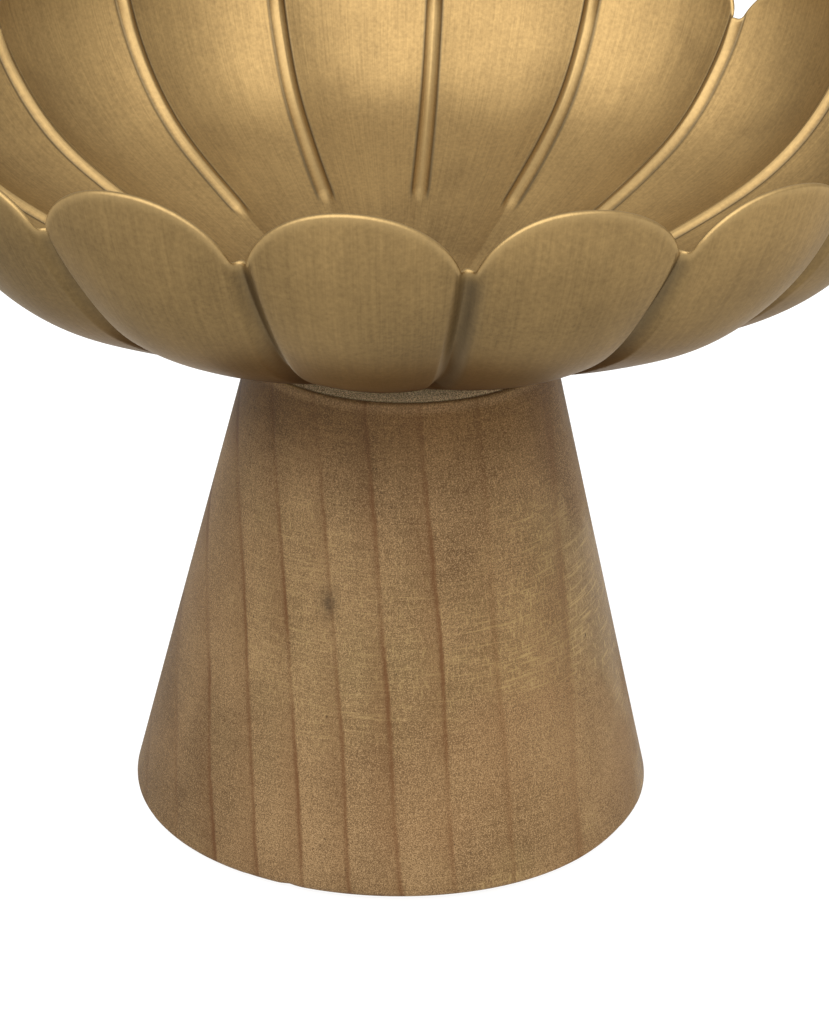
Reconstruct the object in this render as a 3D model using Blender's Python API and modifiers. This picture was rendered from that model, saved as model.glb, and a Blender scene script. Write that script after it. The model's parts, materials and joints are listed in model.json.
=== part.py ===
"""Footed font bowl: a petalled brass bowl bolted to a turned wooden pedestal.

Run with:  blender --background --python part.py

Metres, +Z up.  The origin is on the vertical centre line, at the level of the
surface the font stands on.

How it goes together, from the top down:
  bowl            one pressed brass sheet, PETALS petals divided by pressed ribs
  mount_plate     steel disc soldered under the bowl's flat centre
  threaded_stud   M8 stud welded to the plate, hanging down the pedestal's bore
  pedestal        turned wooden truncated cone, bored through, counterbored below
  fender_washer   wide washer against the roof of the counterbore
  spring_washer   split lock washer
  hex_nut         M8 nut that clamps bowl and pedestal together
  felt_pad_1..4   pads glued under the pedestal
"""

import bpy
import bmesh
from math import cos, floor, hypot, pi, radians, sin
from mathutils import Matrix

# ---------------------------------------------------------------- dimensions
GAP = 0.0003                # clearance kept between pieces that touch

PAD_THICK = 0.0020          # felt pads under the pedestal
PAD_RADIUS = 0.0100
PAD_CIRCLE = 0.0520         # radius of the circle the pads sit on
PAD_COUNT = 4

FOOT_RADIUS = 0.0748        # pedestal, at the floor end
NECK_RADIUS = 0.0419        # pedestal, under the bowl
PEDESTAL_HEIGHT = 0.1315
FOOT_ROUND = 0.0020         # edge radius at the foot
NECK_ROUND = 0.0012         # edge radius at the neck
BORE_RADIUS = 0.0045        # hole for the stud
COUNTERBORE_RADIUS = 0.0140
COUNTERBORE_DEPTH = 0.0240
SEAT_RADIUS = 0.0175        # recess for the mount plate
SEAT_DEPTH = 0.0023

SHEET = 0.0015              # brass sheet thickness
PETALS = 17
PETAL_PHASE = radians(-83.7)    # azimuth of the first groove
BOWL_ARC = 0.1800           # length of the bowl's section, centre to petal tip
FLAT_PART = 0.11            # share of that length that is flat, on the pedestal
# slope of the section, in degrees, at shares of its length
SLOPES = ((0.00, 0.0), (0.11, 0.0), (0.25, 20.6), (0.42, 21.3),
          (0.60, 26.0), (0.80, 54.5), (1.00, 80.8))
GROOVE_HALF_WIDTH = 0.0029
GROOVE_DEPTH = 0.0022
GROOVE_START = (0.42, 0.47)     # shares where a groove begins and is full depth
NOTCH = 0.909               # share of the section reached at a groove's end
CROWN = 0.0030              # how far a petal's edges lie in from its middle
PILLOW = 0.0012             # extra bulge of the petals half way up

PLATE_RADIUS = 0.0170
PLATE_THICK = 0.0020
STUD_RADIUS = 0.00385
STUD_END = 0.0110           # level of the stud's lower end
THREAD_HOLE = 0.00415       # radius of the holes that the stud passes
FENDER_RADIUS = 0.0120
FENDER_THICK = 0.0020
SPRING_RADIUS = 0.0074
SPRING_THICK = 0.0020
SPRING_SPLIT = 0.0012
NUT_FLATS = 0.0130
NUT_THICK = 0.0065

# levels that follow from them
PED_Z0 = PAD_THICK + GAP
PED_Z1 = PED_Z0 + PEDESTAL_HEIGHT
BOWL_Z = PED_Z1 + GAP               # underside of the bowl's flat centre
PLATE_Z1 = PED_Z1
PLATE_Z0 = PLATE_Z1 - PLATE_THICK
SEAT_Z = PED_Z1 - SEAT_DEPTH
ROOF_Z = PED_Z0 + COUNTERBORE_DEPTH
FENDER_Z1 = ROOF_Z - GAP
FENDER_Z0 = FENDER_Z1 - FENDER_THICK
SPRING_Z1 = FENDER_Z0 - GAP
SPRING_Z0 = SPRING_Z1 - SPRING_THICK
NUT_Z1 = SPRING_Z0 - GAP
NUT_Z0 = NUT_Z1 - NUT_THICK


# --------------------------------------------------------------- scene set-up
for old in list(bpy.data.objects):
    bpy.data.objects.remove(old, do_unlink=True)

font = bpy.data.collections.new("footed_font_bowl")
bpy.context.scene.collection.children.link(font)
cutters = bpy.data.collections.new("cutters")
bpy.context.scene.collection.children.link(cutters)


def material(name, colour, metallic, roughness):
    mat = bpy.data.materials.new(name)
    mat.use_nodes = True
    shader = mat.node_tree.nodes["Principled BSDF"]
    shader.inputs["Base Color"].default_value = (*colour, 1.0)
    shader.inputs["Metallic"].default_value = metallic
    shader.inputs["Roughness"].default_value = roughness
    mat.diffuse_color = (*colour, 1.0)
    return mat


BRASS = material("brass", (0.52, 0.38, 0.18), 1.0, 0.36)
WOOD = material("wood", (0.30, 0.19, 0.09), 0.0, 0.55)
STEEL = material("zinc_steel", (0.62, 0.62, 0.60), 1.0, 0.38)
FELT = material("felt", (0.045, 0.035, 0.028), 0.0, 0.95)


def add_object(name, mesh, mat, collection=font):
    obj = bpy.data.objects.new(name, mesh)
    collection.objects.link(obj)
    mesh.materials.clear()
    mesh.materials.append(mat)
    return obj


def smooth(mesh, angle=32.0):
    mesh.shade_smooth()
    mesh.set_sharp_from_angle(angle=radians(angle))


def turned(name, profile, mat, steps=48, closed=True, collection=font):
    """A turned piece: profile points (radius, height) down the outer side."""
    bm = bmesh.new()
    verts = [bm.verts.new((r, 0.0, z)) for r, z in profile]
    for a, b in zip(verts, verts[1:]):
        bm.edges.new((a, b))
    if closed:
        bm.edges.new((verts[-1], verts[0]))
    mesh = bpy.data.meshes.new(name)
    bm.to_mesh(mesh)
    bm.free()
    obj = add_object(name, mesh, mat, collection)
    screw = obj.modifiers.new("turn", 'SCREW')
    screw.angle = 2.0 * pi
    screw.screw_offset = 0.0
    screw.steps = steps
    screw.render_steps = steps
    screw.use_merge_vertices = True
    screw.merge_threshold = 0.00005
    screw.use_smooth_shade = True
    return obj


def corner(p0, p1, p2, size, count=3):
    """Points that round the corner p1 between p0 and p2."""
    def towards(a, b):
        d = hypot(b[0] - a[0], b[1] - a[1])
        return (a[0] + (b[0] - a[0]) * size / d, a[1] + (b[1] - a[1]) * size / d)
    a, b = towards(p1, p0), towards(p1, p2)
    out = []
    for i in range(count + 1):
        t = i / count
        out.append(((1 - t) ** 2 * a[0] + 2 * t * (1 - t) * p1[0] + t * t * b[0],
                    (1 - t) ** 2 * a[1] + 2 * t * (1 - t) * p1[1] + t * t * b[1]))
    return out


def disc(name, radius, z0, z1, mat, sides=32, x=0.0, y=0.0, bevel=0.0,
         collection=font):
    """A solid round disc or rod between the levels z0 and z1."""
    bm = bmesh.new()
    bmesh.ops.create_cone(bm, cap_ends=True, segments=sides, radius1=radius,
                          radius2=radius, depth=z1 - z0)
    mesh = bpy.data.meshes.new(name)
    bm.to_mesh(mesh)
    bm.free()
    smooth(mesh)
    obj = add_object(name, mesh, mat, collection)
    obj.location = (x, y, (z0 + z1) / 2.0)
    if bevel:
        mod = obj.modifiers.new("edges", 'BEVEL')
        mod.width = bevel
        mod.segments = 1
        mod.limit_method = 'ANGLE'
        mod.angle_limit = radians(50.0)
    return obj


def cut(obj, cutter):
    cutter.hide_render = True
    cutter.display_type = 'WIRE'
    mod = obj.modifiers.new("cut_" + cutter.name, 'BOOLEAN')
    mod.operation = 'DIFFERENCE'
    mod.object = cutter
    return mod


# ------------------------------------------------------------------ the bowl
def slope_at(s):
    """Slope of the section, radians, by a monotone cubic through SLOPES."""
    n = len(SLOPES)
    h = [SLOPES[i + 1][0] - SLOPES[i][0] for i in range(n - 1)]
    d = [(SLOPES[i + 1][1] - SLOPES[i][1]) / h[i] for i in range(n - 1)]
    m = [0.0] * n
    for i in range(1, n - 1):
        if d[i - 1] * d[i] > 0.0:
            w1, w2 = 2 * h[i] + h[i - 1], h[i] + 2 * h[i - 1]
            m[i] = (w1 + w2) / (w1 / d[i - 1] + w2 / d[i])
    m[-1] = d[-1]
    s = min(max(s, 0.0), 1.0)
    i = 0
    while i < n - 2 and s > SLOPES[i + 1][0]:
        i += 1
    t = (s - SLOPES[i][0]) / h[i]
    value = (SLOPES[i][1] * (2 * t ** 3 - 3 * t ** 2 + 1)
             + m[i] * h[i] * (t ** 3 - 2 * t ** 2 + t)
             + SLOPES[i + 1][1] * (-2 * t ** 3 + 3 * t ** 2)
             + m[i + 1] * h[i] * (t ** 3 - t ** 2))
    return radians(value)


SECTION_STEPS = 400
section = [(0.0, BOWL_Z)]           # radius and height along the section
for k in range(SECTION_STEPS):
    a = slope_at((k + 0.5) / SECTION_STEPS)
    r, z = section[-1]
    section.append((r + cos(a) * BOWL_ARC / SECTION_STEPS,
                    z + sin(a) * BOWL_ARC / SECTION_STEPS))


def section_at(s):
    f = min(max(s, 0.0), 1.0) * SECTION_STEPS
    i = min(int(f), SECTION_STEPS - 1)
    f -= i
    (r0, z0), (r1, z1) = section[i], section[i + 1]
    return r0 + (r1 - r0) * f, z0 + (z1 - z0) * f


def ease(x, a, b):
    t = min(max((x - a) / (b - a), 0.0), 1.0)
    return t * t * (3.0 - 2.0 * t)


def petal_tip(u):
    """Share of the section reached at u, -1..1 across one petal's free edge."""
    u = min(abs(u), 1.0)
    return NOTCH + (1.0 - NOTCH) * (1.0 - u ** 2.01) ** (1.0 / 1.92)


def bowl_point(column, row):
    """Point of the bowl's under surface.

    column is the azimuth in petals (whole numbers are groove centres), and
    row runs from 0 at the flat centre's edge to 1 at the petals' free edge.
    """
    w = 2.0 * (column - floor(column)) - 1.0        # -1..1 across one petal
    r_rim = section_at(NOTCH)[0]
    half_rim = r_rim * pi / PETALS
    edge = 1.0 - GROOVE_HALF_WIDTH / half_rim
    top = petal_tip(w / edge) if abs(w) < edge else NOTCH
    s = FLAT_PART + (top - FLAT_PART) * row
    r, z = section_at(s)
    half = max(r, 0.02) * pi / PETALS               # half a petal, in metres
    across = abs(w) * half                          # metres from petal middle
    in_groove = (across - (half - GROOVE_HALF_WIDTH)) / GROOVE_HALF_WIDTH
    depth = CROWN * s * min(abs(w), 1.0) ** 2 * ease(s, FLAT_PART, 0.30)
    half_way = min(max((s - 0.52) / (NOTCH - 0.52), 0.0), 1.0) ** 1.3
    depth += PILLOW * sin(half_way * pi) ** 1.2 * (min(abs(w), 1.0) ** 2 - 0.30)
    depth += (GROOVE_DEPTH * ease(in_groove, 0.0, 1.0)
              * ease(s, *GROOVE_START))
    a = slope_at(s)
    r -= depth * sin(a)
    z += depth * cos(a)
    angle = PETAL_PHASE + column * 2.0 * pi / PETALS
    return (r * cos(angle), r * sin(angle), z)


def make_bowl():
    # one pressed sheet: a grid, azimuth by section, bent to the bowl's shape
    half_rim = section_at(NOTCH)[0] * pi / PETALS
    e = 0.5 * GROOVE_HALF_WIDTH / half_rim          # groove edge, in petals
    steps = [0.0, e, 0.5 * (1 - (1 - 2 * e) * 0.78), 0.5 * (1 - (1 - 2 * e) * 0.32)]
    across = steps + [1.0 - x for x in reversed(steps) if x > 0.0]
    columns = [p + x for p in range(PETALS) for x in across]
    per_petal = len(across)
    rows = [0.0, 0.09, 0.19, 0.30, 0.40, 0.46, 0.57, 0.68, 0.79, 0.90, 1.0]

    nx, ny = len(columns) + 1, len(rows)
    bm = bmesh.new()
    bmesh.ops.create_grid(bm, x_segments=nx - 1, y_segments=ny - 1, size=0.5)
    for v in bm.verts:
        i = int(round((v.co.x + 0.5) * (nx - 1)))
        j = int(round((v.co.y + 0.5) * (ny - 1)))
        v.co = bowl_point(columns[i % (PETALS * per_petal)], rows[j])
    bmesh.ops.remove_doubles(bm, verts=bm.verts, dist=0.00002)
    # the flat centre closes the inner ring
    inner = [e for e in bm.edges if e.is_boundary
             and all(abs(v.co.z - BOWL_Z) < 0.0002 for v in e.verts)]
    filled = bmesh.ops.holes_fill(bm, edges=inner, sides=0)["faces"]
    bmesh.ops.poke(bm, faces=filled)
    for v in bm.verts:
        if hypot(v.co.x, v.co.y) < 0.001:
            v.co = (0.0, 0.0, BOWL_Z)
    bmesh.ops.recalc_face_normals(bm, faces=bm.faces)
    centre = min(bm.faces, key=lambda f: f.calc_center_median().xy.length)
    if centre.normal.z > 0.0:                       # the sheet faces down
        bmesh.ops.reverse_faces(bm, faces=bm.faces)
    mesh = bpy.data.meshes.new("bowl")
    bm.to_mesh(mesh)
    bm.free()
    smooth(mesh, 28.0)
    obj = add_object("bowl", mesh, BRASS)
    shell = obj.modifiers.new("sheet", 'SOLIDIFY')
    shell.thickness = SHEET
    shell.offset = -1.0
    shell.use_even_offset = True
    return obj


bowl = make_bowl()

# -------------------------------------------------------------- the pedestal
lean = (NECK_RADIUS - FOOT_RADIUS, PED_Z1 - PED_Z0)
outline = [(SEAT_RADIUS, PED_Z1)]
outline += corner((SEAT_RADIUS, PED_Z1), (NECK_RADIUS, PED_Z1),
                  (FOOT_RADIUS, PED_Z0), NECK_ROUND)
outline += [(FOOT_RADIUS + lean[0] * t, PED_Z0 + lean[1] * t)
            for t in (0.75, 0.5, 0.25)]
outline += corner((NECK_RADIUS, PED_Z1), (FOOT_RADIUS, PED_Z0),
                  (COUNTERBORE_RADIUS, PED_Z0), FOOT_ROUND)
outline += [(COUNTERBORE_RADIUS, PED_Z0),
            (COUNTERBORE_RADIUS, ROOF_Z),
            (BORE_RADIUS, ROOF_Z),
            (BORE_RADIUS, SEAT_Z),
            (SEAT_RADIUS, SEAT_Z)]
pedestal = turned("pedestal", outline, WOOD, steps=56)

# ------------------------------------------------------------ the fastenings
disc("mount_plate", PLATE_RADIUS, PLATE_Z0, PLATE_Z1, STEEL, sides=40,
     bevel=0.0003)
disc("threaded_stud", STUD_RADIUS, STUD_END, PLATE_Z0 - GAP, STEEL, sides=20,
     bevel=0.0008)


def ring(name, outer, inner, z0, z1, mat, steps):
    return turned(name, [(outer, z1), (outer, z0), (inner, z0), (inner, z1)],
                  mat, steps=steps)


ring("fender_washer", FENDER_RADIUS, THREAD_HOLE, FENDER_Z0, FENDER_Z1, STEEL, 32)
spring_washer = ring("spring_washer", SPRING_RADIUS, THREAD_HOLE,
                     SPRING_Z0, SPRING_Z1, STEEL, 28)
bm = bmesh.new()
bmesh.ops.create_cube(bm, size=1.0)
bmesh.ops.scale(bm, vec=(0.008, SPRING_SPLIT, 0.006), verts=bm.verts)
bmesh.ops.rotate(bm, cent=(0, 0, 0), verts=bm.verts,
                 matrix=Matrix.Rotation(radians(24.0), 3, 'X'))
bmesh.ops.translate(bm, vec=(0.0063, 0.0, (SPRING_Z0 + SPRING_Z1) / 2.0),
                    verts=bm.verts)
slit = bpy.data.meshes.new("spring_washer_slit")
bm.to_mesh(slit)
bm.free()
cut(spring_washer, add_object("spring_washer_slit", slit, STEEL, cutters))

hex_nut = disc("hex_nut", NUT_FLATS / 2.0 / cos(pi / 6.0), NUT_Z0, NUT_Z1,
               STEEL, sides=6)
hex_nut.data.shade_flat()
nut_hole = disc("hex_nut_hole", THREAD_HOLE, NUT_Z0 - 0.002, NUT_Z1 + 0.002,
                STEEL, sides=24, collection=cutters)
cut(hex_nut, nut_hole)

# ---------------------------------------------------------------- felt pads
for k in range(PAD_COUNT):
    angle = pi / 4.0 + k * 2.0 * pi / PAD_COUNT
    disc("felt_pad_%d" % (k + 1), PAD_RADIUS, 0.0, PAD_THICK, FELT, sides=28,
         x=PAD_CIRCLE * cos(angle), y=PAD_CIRCLE * sin(angle))
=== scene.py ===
"""Looks of the footed font bowl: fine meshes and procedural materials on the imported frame."""
import json
from math import atan2, cos, degrees, hypot, pi, radians, sin, sqrt

import bpy
import numpy as np
from mathutils import Matrix, Vector

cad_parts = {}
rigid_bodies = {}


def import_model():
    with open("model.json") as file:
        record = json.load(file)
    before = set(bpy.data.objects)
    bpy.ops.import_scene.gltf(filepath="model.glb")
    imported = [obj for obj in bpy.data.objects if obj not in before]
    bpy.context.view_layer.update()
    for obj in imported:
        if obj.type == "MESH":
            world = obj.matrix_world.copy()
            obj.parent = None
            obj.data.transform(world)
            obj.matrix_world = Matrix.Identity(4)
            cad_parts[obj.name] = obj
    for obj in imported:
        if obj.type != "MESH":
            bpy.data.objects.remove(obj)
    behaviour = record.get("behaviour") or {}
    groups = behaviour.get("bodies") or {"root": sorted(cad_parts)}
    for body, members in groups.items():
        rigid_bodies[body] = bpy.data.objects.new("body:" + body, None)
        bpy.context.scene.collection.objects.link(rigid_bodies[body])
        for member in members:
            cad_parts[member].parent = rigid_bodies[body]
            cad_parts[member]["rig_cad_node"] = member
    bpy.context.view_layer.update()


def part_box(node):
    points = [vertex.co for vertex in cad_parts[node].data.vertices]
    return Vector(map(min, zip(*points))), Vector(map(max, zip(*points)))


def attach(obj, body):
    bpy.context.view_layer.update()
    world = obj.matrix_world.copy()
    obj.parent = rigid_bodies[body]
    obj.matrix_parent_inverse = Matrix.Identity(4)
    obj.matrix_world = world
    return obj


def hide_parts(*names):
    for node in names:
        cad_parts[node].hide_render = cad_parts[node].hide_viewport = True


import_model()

ROOT = "root"
ped_lo, ped_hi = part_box("pedestal")
bowl_lo, bowl_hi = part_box("bowl")
PED_Z0, PED_Z1 = ped_lo[2], ped_hi[2]
BOWL_Z = bowl_lo[2]

# ------------------------------------------------------------ colour handling
scene = bpy.context.scene
scene.view_settings.view_transform = "Standard"
scene.view_settings.look = "None"


# ---------------------------------------------------------------- mesh helpers
def make_mesh(name, verts, faces, smooth=True, sharp=None):
    mesh = bpy.data.meshes.new(name)
    mesh.from_pydata(np.asarray(verts, dtype=np.float64).tolist(), [],
                     [tuple(int(i) for i in f) for f in faces])
    mesh.validate()
    mesh.update()
    obj = bpy.data.objects.new(name, mesh)
    scene.collection.objects.link(obj)
    mesh.polygons.foreach_set("use_smooth", [smooth] * len(mesh.polygons))
    if smooth and sharp:
        mesh.set_sharp_from_angle(angle=radians(sharp))
    return obj


def grid_faces(rows, cols, wrap_rows=False):
    """Quads of a grid whose columns wrap round; vertex = row * cols + col."""
    j = np.arange(rows if wrap_rows else rows - 1)
    i = np.arange(cols)
    J, I = np.meshgrid(j, i, indexing="ij")
    J2, I2 = (J + 1) % rows, (I + 1) % cols
    a, b, c, d = J * cols + I, J * cols + I2, J2 * cols + I2, J2 * cols + I
    return np.stack([a, b, c, d], -1).reshape(-1, 4)


def ease(x, a, b):
    t = np.clip((x - a) / (b - a), 0.0, 1.0)
    return t * t * (3.0 - 2.0 * t)


def signed_volume(obj):
    mesh = obj.data
    mesh.calc_loop_triangles()
    n = len(mesh.loop_triangles)
    tri = np.empty(n * 3, dtype=np.int32)
    mesh.loop_triangles.foreach_get("vertices", tri)
    co = np.empty(len(mesh.vertices) * 3)
    mesh.vertices.foreach_get("co", co)
    co = co.reshape(-1, 3)
    t = co[tri.reshape(-1, 3)]
    return float(np.einsum("ij,ij->i", t[:, 0], np.cross(t[:, 1], t[:, 2])).sum() / 6.0)


def face_out(obj):
    if signed_volume(obj) < 0.0:
        obj.data.flip_normals()
    return obj


def wave(x, seed, count=5, start=1):
    """Smooth periodic wobble of an angle, about -1..1, the same each run."""
    rng = np.random.default_rng(seed)
    out = np.zeros_like(np.asarray(x, dtype=float))
    for k in range(start, start + count):
        out += rng.normal() * np.cos(k * x + rng.uniform(0, 2 * pi)) / sqrt(k - start + 1)
    return out / sqrt(count)


# -------------------------------------------------------------- node helpers
class Nodes:
    """Short hand for a procedural material."""

    def __init__(self, name):
        self.mat = bpy.data.materials.new(name)
        self.mat.use_nodes = True
        self.tree = self.mat.node_tree
        self.shader = self.tree.nodes["Principled BSDF"]

    def put(self, socket, value):
        if isinstance(value, bpy.types.NodeSocket):
            self.tree.links.new(value, socket)
        else:
            if hasattr(socket.default_value, "__len__"):
                value = tuple(value) + (1.0,) * (len(socket.default_value) - len(value))
            socket.default_value = value

    def node(self, kind, **props):
        n = self.tree.nodes.new(kind)
        for k, v in props.items():
            setattr(n, k, v)
        return n

    def math(self, op, a, b=0.0, c=0.0, clamp=False):
        n = self.node("ShaderNodeMath", operation=op, use_clamp=clamp)
        self.put(n.inputs[0], a)
        self.put(n.inputs[1], b)
        self.put(n.inputs[2], c)
        return n.outputs[0]

    def vmath(self, op, a, b=(0, 0, 0), scale=None):
        n = self.node("ShaderNodeVectorMath", operation=op)
        self.put(n.inputs[0], a)
        self.put(n.inputs[1], b)
        if scale is not None:
            self.put(n.inputs[3], scale)
        return n.outputs["Value"] if op in ("LENGTH", "DISTANCE", "DOT_PRODUCT") else n.outputs[0]

    def combine(self, x, y, z):
        n = self.node("ShaderNodeCombineXYZ")
        for s, v in zip(n.inputs, (x, y, z)):
            self.put(s, v)
        return n.outputs[0]

    def split(self, v):
        n = self.node("ShaderNodeSeparateXYZ")
        self.put(n.inputs[0], v)
        return n.outputs[0], n.outputs[1], n.outputs[2]

    def noise(self, vec, scale=1.0, detail=2.0, rough=0.5, distortion=0.0, w=None):
        n = self.node("ShaderNodeTexNoise", noise_dimensions="4D" if w is not None else "3D")
        self.put(n.inputs["Vector"], vec)
        if w is not None:
            self.put(n.inputs["W"], w)
        self.put(n.inputs["Scale"], scale)
        self.put(n.inputs["Detail"], detail)
        self.put(n.inputs["Roughness"], rough)
        self.put(n.inputs["Distortion"], distortion)
        return n.outputs["Fac"]

    def remap(self, x, a, b, lo=0.0, hi=1.0, smooth=True):
        n = self.node("ShaderNodeMapRange",
                      interpolation_type="SMOOTHSTEP" if smooth else "LINEAR")
        n.clamp = True
        for s, v in zip(n.inputs, (x, a, b, lo, hi)):
            self.put(s, v)
        return n.outputs[0]

    def mix(self, fac, a, b, blend="MIX"):
        n = self.node("ShaderNodeMix", data_type="RGBA", blend_type=blend)
        self.put(n.inputs[0], fac)
        self.put(n.inputs[6], a)
        self.put(n.inputs[7], b)
        return n.outputs[2]

    def attr(self, name):
        n = self.node("ShaderNodeAttribute", attribute_name=name)
        return n

    def position(self):
        return self.node("ShaderNodeTexCoord").outputs["Object"]

    def bump(self, height, distance, strength=1.0, normal=None):
        n = self.node("ShaderNodeBump")
        self.put(n.inputs["Height"], height)
        n.inputs["Distance"].default_value = distance
        n.inputs["Strength"].default_value = strength
        if normal is not None:
            self.put(n.inputs["Normal"], normal)
        return n.outputs[0]


# =========================================================== the bowl's shape
SHEET = 0.0015
PETALS = 17
PHASE = radians(-83.7)
ARC = 0.1800
SLOPES = ((0.00, 0.0), (0.11, 0.0), (0.25, 20.6), (0.42, 21.3),
          (0.60, 26.0), (0.80, 54.5), (1.00, 80.8))
BEAD = 0.0026               # half width of a rib on the inner side
GROOVE = 0.0038             # half width of the groove on the outer side
DEPTH = 0.0017
RIB = 0.00090               # height of a rib above the inner face
NOTCH = 0.909
FLAT = 0.0017               # half of the short flat at the foot of a notch
CROWN = 0.0030
PILLOW = 0.0012             # extra bulge of the petals half way up
SQUEEZE = 0.034             # radians
EDGE = 0.00075              # radius of the rounded free edge


def slope(s):
    n = len(SLOPES)
    xs = [p[0] for p in SLOPES]
    ys = [p[1] for p in SLOPES]
    h = [xs[i + 1] - xs[i] for i in range(n - 1)]
    d = [(ys[i + 1] - ys[i]) / h[i] for i in range(n - 1)]
    m = [0.0] * n
    for i in range(1, n - 1):
        if d[i - 1] * d[i] > 0.0:
            w1, w2 = 2 * h[i] + h[i - 1], h[i] + 2 * h[i - 1]
            m[i] = (w1 + w2) / (w1 / d[i - 1] + w2 / d[i])
    m[-1] = d[-1]
    s = np.clip(s, 0.0, 1.0)
    i = np.clip(np.searchsorted(xs, s, side="right") - 1, 0, n - 2)
    xs, ys, h, m = map(np.array, (xs, ys, h, m))
    t = (s - xs[i]) / h[i]
    v = (ys[i] * (2 * t ** 3 - 3 * t ** 2 + 1) + m[i] * h[i] * (t ** 3 - 2 * t ** 2 + t)
         + ys[i + 1] * (-2 * t ** 3 + 3 * t ** 2) + m[i + 1] * h[i] * (t ** 3 - t ** 2))
    return np.radians(v)


_n = 2000
_a = slope((np.arange(_n) + 0.5) / _n)
SEC_S = np.linspace(0.0, 1.0, _n + 1)
SEC_R = np.concatenate([[0.0], np.cumsum(np.cos(_a)) * ARC / _n])
SEC_Z = BOWL_Z + np.concatenate([[0.0], np.cumsum(np.sin(_a)) * ARC / _n])


def section(s):
    """Radius and height of the outer face; straight on beyond the end."""
    over = np.clip(s - 1.0, 0.0, 1.0) * ARC
    end = slope(1.0)
    return (np.interp(s, SEC_S, SEC_R) + over * np.cos(end),
            np.interp(s, SEC_S, SEC_Z) + over * np.sin(end))


def smooth(y, dx, width):
    """Average a mirrored curve with a bell of the given width."""
    k = int(3 * width / dx)
    w = np.exp(-0.5 * (np.arange(-k, k + 1) * dx / width) ** 2)
    ext = np.concatenate([y[k:0:-1], y, y[-2:-k - 2:-1]])
    return np.convolve(ext, w / w.sum(), mode="valid")


def rim_curve():
    """Half of one petal's free edge, middle to groove centre.

    Returns metres across from the petal's middle and the share of the section
    reached there, both drawn in by the radius of the rounded edge, the half
    width, and how far up the lobe each point is.
    """
    half = np.interp(NOTCH, SEC_S, SEC_R) * pi / PETALS
    a, b = half - FLAT, (1.0 - NOTCH) * ARC
    x = np.linspace(0.0, half, 1600)
    lobe = (1.0 - np.clip(x / a, 0.0, 1.0) ** 2.11) ** 0.66
    y = smooth(b * lobe, x[1] - x[0], 0.00035)
    dy = np.gradient(y, x)
    n = np.hypot(1.0, dy)
    x2, y2 = x + EDGE * dy / n, y - EDGE / n
    t = np.concatenate([[0.0], np.cumsum(np.hypot(np.diff(x2), np.diff(y2)))])
    mid = t[-1] - 0.0062
    pick = np.concatenate([np.linspace(0.0, mid, 24), np.linspace(mid, t[-1], 20)[1:]])
    x2, y2 = np.interp(pick, t, x2), np.interp(pick, t, y2)
    return x2, NOTCH + y2 / ARC, half


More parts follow.
